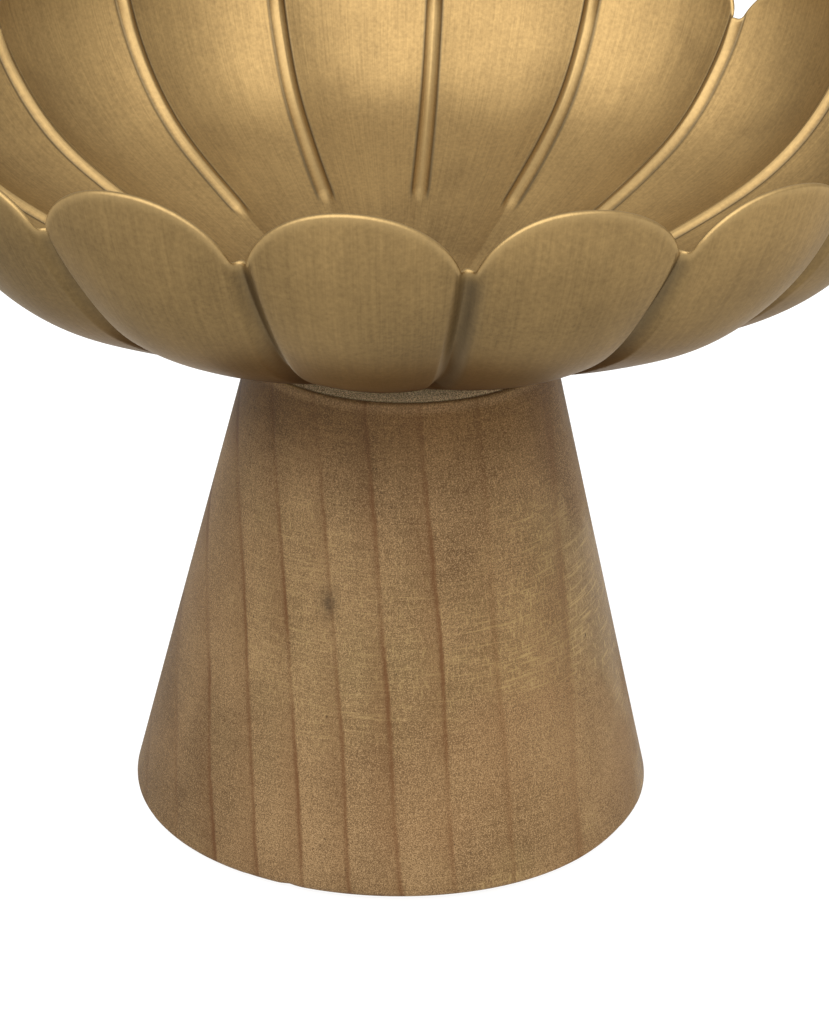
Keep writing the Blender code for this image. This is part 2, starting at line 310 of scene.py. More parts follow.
def build_bowl():
    x, s_rim, half_rim = rim_curve()
    # one whole petal from groove centre to just before the next groove centre
    xs = np.concatenate([-x[::-1], x[1:-1]])
    ss = np.concatenate([s_rim[::-1], s_rim[1:-1]])
    per = len(xs)
    cols = per * PETALS
    petal = np.repeat(np.arange(PETALS), per)
    x_rim = np.tile(xs, PETALS)
    s_end = np.tile(ss, PETALS)

    # small differences from petal to petal, as pressed and filed by hand
    rng = np.random.default_rng(4)
    tip = rng.uniform(-0.0030, 0.0040, PETALS)
    lean = rng.uniform(-0.0012, 0.0012, PETALS)
    for j, t, k in ((14, -0.0040, -0.0006), (15, 0.0056, 0.0003), (16, 0.0066, -0.0008),
                    (0, 0.0042, -0.0022), (1, -0.0046, -0.0022)):
        tip[j], lean[j] = t, k
    notch_up = np.zeros(PETALS)
    notch_up[10] = 0.016
    base = s_end.min()
    lift = (s_end - base) / (s_end.max() - base)
    s_end = s_end + tip[petal] * lift
    # each groove belongs half to this petal, half to its neighbour
    near = (petal + (x_rim > 0)) % PETALS
    s_end = s_end + notch_up[near] * (1.0 - lift) ** 2
    x_shift = lean[petal] * lift

    t_rows = np.concatenate([np.linspace(0.012, 0.44, 28), np.linspace(0.448, 0.56, 28),
                             np.linspace(0.57, 0.955, 42), np.linspace(0.962, 1.0, 10)])
    T, _ = np.meshgrid(t_rows, np.arange(cols), indexing="ij")
    grow = np.clip((T - 0.5) / 0.5, 0.0, 1.0) ** 1.4
    S = T * base + (s_end - base)[None, :] * grow
    R, Z = section(S)
    A = slope(S)
    H = np.maximum(R, 0.004) * pi / PETALS      # half a petal here
    g_rim = 0.0054
    G = np.minimum(g_rim, 0.36 * H)             # half width of the groove's zone
    narrow = G / g_rim
    # columns in the petal keep their share of it; those in the groove keep
    # their distance from its centre
    ax = np.abs(x_rim)[None, :]
    a_rim = half_rim - g_rim
    in_petal = ax <= a_rim
    across = np.where(in_petal, ax / a_rim * (H - G), H - (half_rim - ax) / g_rim * G)
    across = across * np.sign(x_rim)[None, :]
    across = across + x_shift[None, :] * grow * (1 - (across / H) ** 2)
    W = across / H                              # -1..1 across the petal
    gap = (H - np.abs(across)) / narrow         # metres from the groove centre

    rib = ease(S, 0.416, 0.456)                 # the rib starts with a soft point
    crown = CROWN * S * W ** 2 * ease(S, 0.11, 0.30)
    half_way = np.clip((S - 0.52) / (NOTCH - 0.52), 0.0, 1.0) ** 1.3
    half_way = np.sin(half_way * pi) ** 1.2
    crown = crown + PILLOW * half_way * (W ** 2 - 0.30)
    # under side: a wide round groove
    side = np.where(x_rim > 0, -1.0, 1.0)[None, :] * gap
    xo = np.clip(gap / GROOVE, 0.0, 1.0)
    groove = (1.0 - xo ** 2) ** 2
    # painted shade in each groove over the patina in it, heavier on one side of the groove
    shade_offset = np.zeros(PETALS)
    for k, v in ((15, 0.30), (16, 0.30), (0, 0.34), (1, 0.0), (2, -0.20)):
        shade_offset[k] = v
    groove_patina_and_shade = np.exp(-((side / GROOVE - shade_offset[near][None, :]) / 0.66) ** 2)
    d_out = crown + DEPTH * groove * ease(S, 0.414, 0.455)
    # inner side: a rounded bead that runs out softly into the petals
    xb = np.clip(gap / (BEAD * (0.55 + 0.45 * rib)), 0.0, 1.0)
    bead = (1.0 - xb ** 2.3) ** 1.45
    foot = np.exp(-((gap / BEAD - 1.04) / 0.16) ** 2)
    high = RIB + (DEPTH - RIB) * ease(S, 0.84, NOTCH)
    d_in = crown + high * bead * rib - 0.00012 * foot * rib
    # slight unevenness of hand work, both faces together
    ang = PHASE + (2 * petal[None, :] + 1) * pi / PETALS + W * pi / PETALS
    # the grooves on one side were pressed a little closer together half way up
    turn = (ang + pi / 2 + pi) % (2 * pi) - pi
    lower = np.sin(np.clip((S - 0.50) / (NOTCH - 0.50), 0.0, 1.0) ** 1.05 * pi) ** 1.1
    ang = ang - SQUEEZE * lower * np.sin(2 * turn) * (1.0 - 0.25 * np.sin(turn)) \
        * np.clip(np.cos(turn), 0.0, 1.0) ** 2
    dent = 0.00013 * (wave(ang, 11, 9, 3) * np.sin(S * 23) + wave(ang, 12, 9, 5) * np.cos(S * 31))
    dent = dent * ease(S, 0.12, 0.3)

    def surface(d):
        d = d + dent
        r = R - d * np.sin(A)
        z = Z + d * np.cos(A)
        return np.stack([r * np.cos(ang), r * np.sin(ang), z], -1)

    outer = surface(d_out)
    inner = surface(d_in + SHEET)

    # the sheet's edge: a half round between the two faces
    lo, hi = outer[-1], inner[-1]
    mid, hv = (lo + hi) / 2, (hi - lo) / 2
    hl = np.linalg.norm(hv, axis=1, keepdims=True)
    tan = np.roll(mid, -1, 0) - np.roll(mid, 1, 0)
    tan /= np.linalg.norm(tan, axis=1, keepdims=True)
    out = np.cross(hv / hl, tan)
    ref = mid - (outer[-6] + inner[-6]) / 2
    out *= np.sign(np.einsum("ij,ij->i", out, ref))[:, None]
    for _ in range(2):                          # soften it round the corners
        out = out + 0.6 * (np.roll(out, 1, 0) + np.roll(out, -1, 0))
        out /= np.linalg.norm(out, axis=1, keepdims=True)
    arc = []
    for k in range(1, 8):
        th = k / 8 * pi
        arc.append(mid - hv * cos(th) + out * EDGE * sin(th))
    arc = np.array(arc)

    P = np.concatenate([outer, arc, inner[::-1]])
    rows = len(P)
    verts = P.reshape(-1, 3)
    faces = grid_faces(rows, cols)
    n = len(verts)
    verts = np.concatenate([verts, [[0, 0, BOWL_Z], [0, 0, BOWL_Z + SHEET]]])
    i = np.arange(cols)
    fans = [(int(b), int(a), n) for a, b in zip(i, (i + 1) % cols)]
    base_row = (rows - 1) * cols
    fans += [(int(base_row + a), int(base_row + b), n + 1) for a, b in zip(i, (i + 1) % cols)]
    obj = make_mesh("bowl_pressed", verts, faces.tolist() + fans)
    face_out(obj)

    # masks that the material reads: where ribs and edge are rubbed bright, with a faint painted highlight on the groove
    # shoulders;
    #     where patina and painted shade darken the grooves and the ribs' feet, the share of the section, and side
    nr = len(t_rows)
    edge_dist = (S[-1][None, :] - S) * ARC
    rim = np.exp(-(np.clip(edge_dist, 0, 1) / 0.0011) ** 1.5)
    crest = ease(bead, 0.16, 0.75) * rib
    # painted shade, with patina, in the crease beside each rib
    corner_in = np.exp(-((gap / BEAD - 1.02) / 0.19) ** 2) * rib
    # painted highlight: a thin light line along each groove's shoulder
    shoulder_glint = np.exp(-((np.abs(side) / GROOVE - 1.06) / 0.10) ** 2) * ease(S, 0.5, 0.7)
    col = np.zeros((rows, cols, 4))
    col[:nr, :, 0] = np.maximum(rim * 0.42, shoulder_glint * 0.06)
    col[:nr, :, 1] = groove_patina_and_shade * ease(S, 0.414, 0.47) * (1.0 - 0.6 * ease(S, 0.885, 0.905))
    col[:nr, :, 2] = S
    col[:nr, :, 3] = 0.0
    col[nr:-nr, :, 0] = 0.36
    col[nr:-nr, :, 2] = 1.0
    col[nr:-nr, :, 3] = 0.5
    ins = np.zeros((nr, cols, 4))
    ins[:, :, 0] = np.maximum(crest * 0.34, rim * 0.40)
    ins[:, :, 1] = corner_in
    ins[:, :, 2] = S
    ins[:, :, 3] = 1.0
    col[-nr:] = ins[::-1]
    data = np.concatenate([col.reshape(-1, 4), [[0, 0, 0, 0], [0, 0, 0, 1]]])
    # wear, patina, painted shade and a painted highlight, kept per vertex
    layer = obj.data.attributes.new("wear_and_painted_light", "FLOAT_COLOR", "POINT")
    layer.data.foreach_set("color", data.reshape(-1))
    # distance across the petal, -1..1, kept on the mesh; nothing in this script reads it
    wl = obj.data.attributes.new("petal", "FLOAT", "POINT")
    wcol = np.concatenate([W, np.repeat(W[-1:], len(arc), 0), W[::-1]])
    wl.data.foreach_set("value", np.concatenate([wcol.reshape(-1), [0, 0]]))
    return obj


# ============================================================ brass material
def brass_material():
    N = Nodes("antique_brass")
    P = N.position()
    x, y, z = N.split(P)
    wear_and_painted_light = N.attr("wear_and_painted_light")
    sep = N.node("ShaderNodeSeparateColor")
    N.put(sep.inputs[0], wear_and_painted_light.outputs["Color"])
    polish_and_glint, dark, arc = sep.outputs[0], sep.outputs[1], sep.outputs[2]
    inside = wear_and_painted_light.outputs["Alpha"]
    flat = N.combine(x, y, 0.0)
    direction = N.vmath("NORMALIZE", flat)
    dx, dy, _ = N.split(direction)

    def streaks(k_across, k_along, detail, seed):
        vec = N.combine(N.math("MULTIPLY", dx, k_across), N.math("MULTIPLY", dy, k_across),
                        N.math("MULTIPLY", arc, k_along))
        return N.noise(vec, 1.0, detail, 0.6, 0.0, w=seed)

    fine = streaks(330.0, 9.0, 3.0, 1.0)         # brush lines running up the petals
    broad = streaks(120.0, 5.0, 2.0, 2.0)
    hoop = N.noise(N.combine(N.math("MULTIPLY", dx, 9.0), N.math("MULTIPLY", dy, 9.0),
                             N.math("MULTIPLY", arc, 210.0)), 1.0, 2.0, 0.6, w=3.0)
    blotch = N.noise(P, 38.0, 4.0, 0.55, 0.4)
    cloud = N.noise(P, 11.0, 3.0, 0.5, 0.2)
    grainy = N.noise(P, 900.0, 2.0, 0.6)

    # tone: random patina and brush marks, then darker towards the floor of the bowl; the corners are darkened further
    # down
    tone = N.math("MULTIPLY_ADD", N.math("SUBTRACT", fine, 0.5), N.remap(inside, 0.0, 1.0, 0.46, 0.66), 0.5)
    tone = N.math("MULTIPLY_ADD", N.math("SUBTRACT", broad, 0.5), 0.50, tone)
    tone = N.math("MULTIPLY_ADD", N.math("SUBTRACT", hoop, 0.5),
                  N.remap(inside, 0.0, 1.0, 0.10, 0.06), tone)
    tone = N.math("MULTIPLY_ADD", N.math("SUBTRACT", blotch, 0.5), 0.80, tone)
    tone = N.math("MULTIPLY_ADD", N.math("SUBTRACT", cloud, 0.5), 0.42, tone)
    tone = N.math("MULTIPLY_ADD", N.math("SUBTRACT", grainy, 0.5), 0.75, tone)
    # by height: darker on the floor of the bowl, painted shade where the near wall shades it; darker at mid height and
    # lighter towards the rim, painted light
    tone = N.math("ADD", tone, N.remap(arc, 0.30, 0.52, -0.18, 0.05))
    tone = N.math("ADD", tone, N.remap(arc, 0.58, 0.80, 0.0, -0.10))
    tone = N.math("ADD", tone, N.remap(arc, 0.80, 1.0, 0.0, 0.14))
    tone = N.math("ADD", tone, 0.0, clamp=True)

    brown = (0.160, 0.101, 0.040)
    gold = (0.358, 0.234, 0.091)
    bright = (0.440, 0.303, 0.130)
    col = N.mix(tone, brown, gold)
    # the outside is painted darker low down, as painted shade under the bowl, with random cloudy tone on top
    outside = N.math("SUBTRACT", 1.0, inside, clamp=True)
    shade = N.math("ADD", N.remap(arc, 0.50, 0.80, -0.80, -0.36, smooth=False),
                   N.remap(arc, 0.80, 1.0, 0.0, 0.27, smooth=False))
    # painted light: lighter to the right and darker towards both far sides
    shade = N.math("MULTIPLY_ADD", x, 1.4, shade)
    shade = N.math("MULTIPLY_ADD", N.math("MULTIPLY", x, x), -9.0, shade)
    shade = N.math("MULTIPLY_ADD", N.math("SUBTRACT", cloud, 0.5), 0.45, shade)
    f = N.math("MULTIPLY_ADD", outside, shade, 1.0)
    # painted reflection of the wood: a warm tint low down, and more painted shade just above the foot
    low = N.math("MULTIPLY", outside, N.remap(arc, 0.82, 0.56))
    f = N.math("MULTIPLY", f, N.math("MULTIPLY_ADD", N.math("MULTIPLY", outside, N.remap(arc, 0.65, 0.55)), -0.12, 1.0))
    col = N.vmath("MULTIPLY", col, N.combine(N.math("MULTIPLY_ADD", low, 0.02, f), N.math("MULTIPLY_ADD", low, -0.05, f),
                                             N.math("MULTIPLY_ADD", low, -0.10, f)))
    # patina and painted shade darken the grooves and the creases at the ribs' feet
    corner = N.math("MULTIPLY", dark, N.remap(inside, 0.0, 1.0, 0.66, 0.72))
    col = N.mix(corner, col, (0.078, 0.058, 0.032))
    # rubbed-bright rim and rib crests, and the faint painted highlight on the groove shoulders
    col = N.mix(N.math("MULTIPLY", polish_and_glint, 0.9), col, bright)
    N.put(N.shader.inputs["Base Color"], col)
    N.put(N.shader.inputs["Metallic"], 1.0)
    N.put(N.shader.inputs["Specular Tint"], (0.82, 0.74, 0.63))
    rough = N.math("MULTIPLY_ADD", tone, -0.08, 0.50)
    rough = N.math("MULTIPLY_ADD", N.math("SUBTRACT", fine, 0.5), 0.12, rough)
    rough = N.math("MULTIPLY_ADD", polish_and_glint, -0.06, rough)
    N.put(N.shader.inputs["Roughness"], rough)
    N.put(N.shader.inputs["Anisotropic"], 0.30)
    N.put(N.shader.inputs["Coat Weight"], 0.10)
    N.put(N.shader.inputs["Coat Roughness"], 0.38)
    tangent = N.node("ShaderNodeTangent", direction_type="RADIAL", axis="Z")
    N.put(N.shader.inputs["Tangent"], tangent.outputs[0])
    h = N.math("MULTIPLY_ADD", blotch, 0.6, fine)
    h = N.math("MULTIPLY_ADD", hoop, 0.10, h)
    h = N.math("MULTIPLY_ADD", grainy, 0.35, h)
    N.put(N.shader.inputs["Normal"], N.bump(h, 0.00010, 0.5))
    return N.mat


bowl = build_bowl()
bowl.data.materials.append(brass_material())
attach(bowl, ROOT)
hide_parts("bowl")


# ======================================================= the pedestal's shape
FOOT_R, NECK_R = 0.0748, 0.0419
SEAT_R, SEAT_DEPTH = 0.0175, 0.0023
BORE_R, CB_R, CB_DEPTH = 0.0045, 0.0140, 0.0240


def arc_points(p0, p1, p2, size, count):
    """Round the corner p1; size may be an array, one per azimuth."""
    def unit(a, b):
        d = hypot(b[0] - a[0], b[1] - a[1])
        return ((b[0] - a[0]) / d, (b[1] - a[1]) / d)
    u, v = unit(p1, p0), unit(p1, p2)
    out = []
    for i in range(count + 1):
        t = i / count
        ka, kb = (1 - t) ** 2, t * t
        out.append((p1[0] + size * (ka * u[0] + kb * v[0]),
                    p1[1] + size * (ka * u[1] + kb * v[1])))
    return out


def build_pedestal():
    cols = 360
    az = np.arange(cols) / cols * 2 * pi
    one = np.ones(cols)

    def bump_at(centre, width):
        d = (az - radians(centre) + pi) % (2 * pi) - pi
        return np.exp(-(d / radians(width)) ** 2)

    # the foot's edge is worn rounder along the front and a little at the back
    foot_round = np.clip(0.0009 + 0.0002 * wave(az, 21, 8, 2), 0.0006, 0.004)
    foot_round = foot_round + 0.0034 * bump_at(-99, 33) + 0.0007 * bump_at(-30, 12) \
        + 0.0016 * bump_at(80, 26)
    neck_round = np.clip(0.0010 + 0.0002 * wave(az, 22, 8, 2), 0.0006, 0.002)

    top, foot = (NECK_R, PED_Z1), (FOOT_R, PED_Z0)
    prof = []

    def add(r, z):
        prof.append((r * one, z * one))

    add(SEAT_R, SEAT_z)
    add(SEAT_R, PED_Z1 - 0.0003)
    add(SEAT_R + 0.0003, PED_Z1)
    for r in np.linspace(SEAT_R + 0.003, NECK_R - 0.0022, 14):
        add(r, PED_Z1)
    for r, z in arc_points((SEAT_R, PED_Z1), top, foot, neck_round, 6):
        prof.append((r * one, z * one))
    wall = np.linspace(0.03, 0.955, 74)
    for t in wall:
        add(NECK_R + (FOOT_R - NECK_R) * t, PED_Z1 + (PED_Z0 - PED_Z1) * t)
    for r, z in arc_points(top, foot, (CB_R, PED_Z0), foot_round, 8):
        prof.append((r * one, z * one))
    for r in np.linspace(0.066, CB_R + 0.0012, 10):
        add(r, PED_Z0)
    add(CB_R + 0.0005, PED_Z0)
    add(CB_R, PED_Z0 + 0.0005)
    for k in range(1, 8):
        add(CB_R, PED_Z0 + 0.0005 + (CB_DEPTH - 0.0005) * k / 8)
    add(CB_R, PED_Z0 + CB_DEPTH)
    add(BORE_R + 0.0004, PED_Z0 + CB_DEPTH)
    add(BORE_R, PED_Z0 + CB_DEPTH + 0.0004)
    for k in range(1, 10):
        add(BORE_R, PED_Z0 + CB_DEPTH + (SEAT_z - PED_Z0 - CB_DEPTH) * k / 10)
    add(BORE_R, SEAT_z)
    rr = np.array([p[0] for p in prof])
    zz = np.array([p[1] for p in prof])
    # slight waviness left by hand sanding on the outer wall, and small nicks
    outer = rr > 0.03
    side = np.clip((rr - 0.036) / 0.004, 0, 1) * (zz < PED_Z1 - 0.0004) * (zz > PED_Z0 + 0.0004)
    A = np.broadcast_to(az, rr.shape)
    wob = 0.00010 * (wave(A, 31, 6, 2) * np.sin(zz * 60 + 1) + wave(A, 32, 7, 3) * np.cos(zz * 95))
    rr = rr + wob * side * outer
    for a0, z0, wa, wz, depth in ((-112.0, 0.0020, 1.3, 0.0035, 0.0007),
                                  (-110.0, 0.0080, 0.8, 0.0060, 0.0003),
                                  (-22.0, 0.0040, 1.5, 0.0020, 0.0006)):
        d = (A - radians(a0) + pi) % (2 * pi) - pi
        rr = rr - depth * np.exp(-(d / radians(wa)) ** 2 - ((zz - PED_Z0 - z0) / wz) ** 2) * outer
    # the outside was turned a shade off the line of its bore
    off = 0.0143 * (zz - 0.067) * np.clip((rr - 0.020) / 0.012, 0.0, 1.0)
    P = np.stack([rr * np.cos(A) + off, rr * np.sin(A), zz], -1)
    obj = make_mesh("pedestal_turned", P.reshape(-1, 3),
                    grid_faces(len(prof), cols, wrap_rows=True).tolist(), sharp=50)
    return face_out(obj)


SEAT_z = PED_Z1 - SEAT_DEPTH


# ============================================================== wood material
def wood_material():
    N = Nodes("turned_wood")
    P = N.position()
    x, y, z = N.split(P)

    def field(sx, sy, sz, detail, seed, rough=0.55):
        return N.noise(N.vmath("MULTIPLY", P, (sx, sy, sz)), 1.0, detail, rough, w=seed)

    # slow warps keep the growth rings from being straight
    warp = field(14.0, 14.0, 5.0, 2.0, 5.0)
    warp2 = field(60.0, 60.0, 14.0, 2.0, 6.0)
    ragged = field(700.0, 700.0, 260.0, 2.0, 7.0)
    d = N.math("MULTIPLY_ADD", y, -0.163, x)
    d = N.math("MULTIPLY_ADD", z, 0.156, d)
    d = N.math("MULTIPLY_ADD", N.math("SUBTRACT", warp, 0.5), 0.0060, d)
    d = N.math("MULTIPLY_ADD", N.math("SUBTRACT", warp2, 0.5), 0.0016, d)
    d = N.math("MULTIPLY_ADD", N.math("SUBTRACT", ragged, 0.5), 0.0010, d)
    # rings bow gently round a far centre
    d = N.math("MULTIPLY_ADD", N.math("MULTIPLY", y, y), 0.9, d)
    ring = N.math("DIVIDE", N.math("ADD", d, 0.0075), 0.0143)
    cell = N.math("FLOOR", ring)
    f = N.math("FRACT", ring)
    # a narrow reddish late line with a wide soft shade before it
    line = N.math("MULTIPLY", N.remap(f, 0.83, 0.93), N.remap(f, 0.93, 1.0, 1.0, 0.0))
    soft = N.math("MULTIPLY", N.remap(f, 0.30, 0.93), N.remap(f, 0.93, 1.0, 1.0, 0.0))
    per = N.noise(N.combine(cell, 0.37, 0.71), 3.17, 0.0, 0.5)
    along = field(30.0, 30.0, 22.0, 2.0, 8.0)
    amp = N.math("MULTIPLY", N.remap(per, 0.30, 0.65, 0.35, 1.0), N.remap(along, 0.32, 0.62, 0.25, 1.0))

    # sandy speckle of cut pores, finer than a third of a millimetre
    sand = N.noise(P, 3100.0, 1.0, 0.6, w=1.0)
    sand2 = N.noise(P, 900.0, 1.0, 0.5, w=2.0)
    # weave of fibre lines (up) and turning lines (round)
    fibre = field(1500.0, 1500.0, 90.0, 2.0, 3.0, 0.6)
    lathe = field(90.0, 90.0, 1700.0, 2.0, 4.0, 0.6)
    weave = N.math("ADD", fibre, lathe)
    dots = N.math("MULTIPLY", N.remap(N.noise(P, 620.0, 1.0, 0.5, w=10.0), 0.735, 0.79),
                  N.remap(N.noise(P, 1500.0, 0.0, 0.5, w=11.0), 0.40, 0.60))
    cloud = N.noise(P, 15.0, 3.0, 0.5, w=13.0)
    cloud2 = N.noise(P, 42.0, 3.0, 0.55, w=14.0)
    warm = N.noise(P, 26.0, 2.0, 0.5, w=15.0)
    band = field(70.0, 70.0, 9.0, 2.0, 16.0, 0.5)

    def stain(r, g, b):
        return (r * 0.43, g * 0.40, b * 0.32)

    light = stain(0.375, 0.246, 0.134)
    deep = stain(0.195, 0.118, 0.056)
    t = N.math("MULTIPLY_ADD", N.math("SUBTRACT", cloud, 0.5), 1.7, 0.5)
    t = N.math("MULTIPLY_ADD", N.math("SUBTRACT", cloud2, 0.5), 1.2, t)
    t = N.math("MULTIPLY_ADD", N.math("SUBTRACT", weave, 1.0), 1.15, t)
    t = N.math("MULTIPLY_ADD", N.math("SUBTRACT", sand2, 0.5), 0.8, t)
    t = N.math("MULTIPLY_ADD", N.math("SUBTRACT", band, 0.5), 1.5, t)
    base = N.mix(N.math("ADD", t, 0.0, clamp=True), deep, light)
    base = N.mix(N.remap(warm, 0.52, 0.70, 0.0, 0.40), base, stain(0.300, 0.178, 0.092))
    base = N.mix(N.remap(warm, 0.46, 0.30, 0.0, 0.35), base, stain(0.235, 0.168, 0.082))
    # pores dark, ridges between them pale
    base = N.mix(N.remap(sand, 0.50, 0.36, 0.0, 0.62), base, stain(0.110, 0.060, 0.028))
    base = N.mix(N.remap(sand, 0.52, 0.66, 0.0, 0.55), base, stain(0.620, 0.425, 0.262))
    # rubbed golden scratches in places, up and round
    rub = N.remap(N.noise(N.vmath("ADD", P, (0.013, 0.0, -0.002)), 20.0, 3.0, 0.6, w=12.0), 0.45, 0.60)
    near = N.remap(N.math("MULTIPLY_ADD", x, 1.0, N.math("MULTIPLY", z, -0.25)), -0.02, 0.05, 0.35, 1.0)
    rub = N.math("MULTIPLY", rub, near)
    scratch = N.math("MAXIMUM", N.remap(fibre, 0.54, 0.68), N.remap(lathe, 0.54, 0.68))
    base = N.mix(N.math("MULTIPLY", N.math("MULTIPLY", scratch, rub), 0.85), base, stain(0.560, 0.415, 0.212))
    base = N.mix(N.math("MULTIPLY", rub, 0.22), base, stain(0.430, 0.310, 0.140))
    base = N.mix(N.math("MULTIPLY", dots, 0.75), base, stain(0.060, 0.035, 0.018))
    base = N.mix(N.math("MULTIPLY", N.math("MULTIPLY", soft, amp), 0.42), base, stain(0.185, 0.090, 0.034))
    base = N.mix(N.math("MULTIPLY", N.math("MULTIPLY", line, amp), 0.72), base, stain(0.150, 0.060, 0.018))
    # a small knot with a soft dark halo
    kd = N.vmath("SUBTRACT", P, (-0.0180, -0.0526, 0.0810))
    kx, ky, kz = N.split(kd)
    kr = N.vmath("LENGTH", N.combine(kx, N.math("MULTIPLY", ky, 0.6), N.math("MULTIPLY", kz, 0.62)))
    kr = N.math("MULTIPLY_ADD", N.math("SUBTRACT", sand2, 0.5), 0.0022, kr)
    halo = N.remap(kr, 0.0050, 0.0004, 0.0, 0.36)
    core = N.remap(kr, 0.0021, 0.0004, 0.0, 0.40)
    base = N.mix(halo, base, stain(0.070, 0.048, 0.024))
    base = N.mix(core, base, stain(0.040, 0.028, 0.016))
    # painted shadow of the bowl: the wood just under it is painted darker and warmer; the top face is raw end grain,
    # painted very pale as painted light in the gap
    bowl_shadow = N.remap(z, PED_Z1 - 0.031, PED_Z1 - 0.004, 0.0, 1.0)
    lip = N.remap(z, PED_Z1 - 0.0034, PED_Z1 - 0.0014, 1.0, 0.45)
    bowl_shadow = N.math("MULTIPLY", bowl_shadow, lip)
    base = N.vmath("MULTIPLY", base, N.combine(N.math("MULTIPLY_ADD", bowl_shadow, -0.40, 1.0),
                                               N.math("MULTIPLY_ADD", bowl_shadow, -0.47, 1.0),
                                               N.math("MULTIPLY_ADD", bowl_shadow, -0.60, 1.0)))
    # the top face, in the gap under the bowl, is painted very pale: raw end grain and painted light
    reach = N.vmath("LENGTH", N.combine(N.math("SUBTRACT", x, 0.00095), y, 0.0))
    end_grain_and_light = N.math("MULTIPLY", N.remap(z, PED_Z1 - 0.0006, PED_Z1 - 0.0001),
                 N.remap(reach, NECK_R - 0.0007, NECK_R - 0.0018))
    base = N.mix(end_grain_and_light, base, N.mix(N.remap(sand, 0.42, 0.60), (0.34, 0.23, 0.12), (1.0, 0.78, 0.46)))
    # painted light from the right: lighter to the right, darker to the left, more so under the bowl, and a little
    # darker near the foot
    side = N.math("MULTIPLY_ADD", x, 3.9, 1.155)
    side = N.math("MULTIPLY_ADD", N.math("MULTIPLY", bowl_shadow, x), 6.0, side)
    side = N.math("MULTIPLY", side, N.remap(z, PED_Z0, PED_Z0 + 0.022, 0.92, 1.0))
    base = N.vmath("MULTIPLY", base, N.combine(side, side, side))
    N.put(N.shader.inputs["Base Color"], base)
    N.put(N.shader.inputs["Roughness"], N.remap(rub, 0.0, 1.0, 0.66, 0.50, smooth=False))
    N.put(N.shader.inputs["Specular IOR Level"], 0.12)
    h = N.math("MULTIPLY_ADD", sand, 1.0, N.math("MULTIPLY", weave, 0.4))
    h = N.math("MULTIPLY_ADD", line, -0.3, h)
    h = N.math("MULTIPLY_ADD", dots, -1.0, h)
    N.put(N.shader.inputs["Normal"], N.bump(h, 0.00022, 0.6))
    return N.mat


pedestal = build_pedestal()
pedestal.data.materials.append(wood_material())
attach(pedestal, ROOT)
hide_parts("pedestal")


# ====================================================== hardware underneath
def steel_material(name, colour, rough):
    N = Nodes(name)
    P = N.position()
    spots = N.noise(P, 420.0, 3.0, 0.6)
    fine = N.noise(N.vmath("MULTIPLY", P, (2500.0, 2500.0, 700.0)), 1.0, 2.0, 0.6)
    tone = N.math("MULTIPLY_ADD", N.math("SUBTRACT", spots, 0.5), 0.8, 0.5, clamp=True)
    dull = tuple(c * 0.62 for c in colour)
    N.put(N.shader.inputs["Base Color"], N.mix(tone, dull, colour))
    N.put(N.shader.inputs["Metallic"], 1.0)
    N.put(N.shader.inputs["Roughness"], N.math("MULTIPLY_ADD", fine, 0.16, rough))
    N.put(N.shader.inputs["Normal"], N.bump(N.math("ADD", fine, spots), 0.00006, 0.5))
    return N.mat


def felt_material():
    N = Nodes("dark_felt")
    P = N.position()
    fuzz = N.noise(P, 2600.0, 3.0, 0.7, 0.6)
    tuft = N.noise(P, 700.0, 2.0, 0.6)
    col = N.mix(N.remap(fuzz, 0.35, 0.65), (0.022, 0.017, 0.013), (0.075, 0.058, 0.045))
    col = N.mix(N.math("MULTIPLY", N.remap(tuft, 0.5, 0.7), 0.35), col, (0.110, 0.088, 0.070))
    N.put(N.shader.inputs["Base Color"], col)
    N.put(N.shader.inputs["Roughness"], 0.95)
    N.put(N.shader.inputs["Sheen Weight"], 0.35)
    N.put(N.shader.inputs["Normal"], N.bump(N.math("ADD", fuzz, tuft), 0.00035, 0.9))
    return N.mat


STEEL = steel_material("zinc_steel", (0.66, 0.655, 0.63), 0.26)
STEEL_DARK = steel_material("zinc_steel_dull", (0.50, 0.49, 0.46), 0.34)
FELT = felt_material()


def lathe(name, profile, cols=96, sharp=40):
    """A ring turned from a closed profile of (radius, height) points."""
    az = np.arange(cols) / cols * 2 * pi
    pr = np.array(profile)
    P = np.stack([pr[:, :1] * np.cos(az), pr[:, :1] * np.sin(az),
                  np.repeat(pr[:, 1:], cols, 1)], -1)
    return face_out(make_mesh(name, P.reshape(-1, 3),
                              grid_faces(len(pr), cols, wrap_rows=True).tolist(), sharp=sharp))


def ring_profile(r0, r1, z0, z1, e):
    return [(r0 + e, z0), (r1 - e, z0), (r1 - e * 0.3, z0 + e * 0.3), (r1, z0 + e), (r1, z1 - e),
            (r1 - e * 0.3, z1 - e * 0.3), (r1 - e, z1), (r0 + e, z1), (r0 + e * 0.3, z1 - e * 0.3),
            (r0, z1 - e), (r0, z0 + e), (r0 + e * 0.3, z0 + e * 0.3)]


def finish(obj, node, mat):
    obj.data.materials.append(mat)
    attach(obj, ROOT)
    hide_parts(node)


lo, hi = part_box("fender_washer")
finish(lathe("fender_washer_fine", ring_profile(0.00415, 0.0120, lo[2], hi[2], 0.00025)),
       "fender_washer", STEEL)


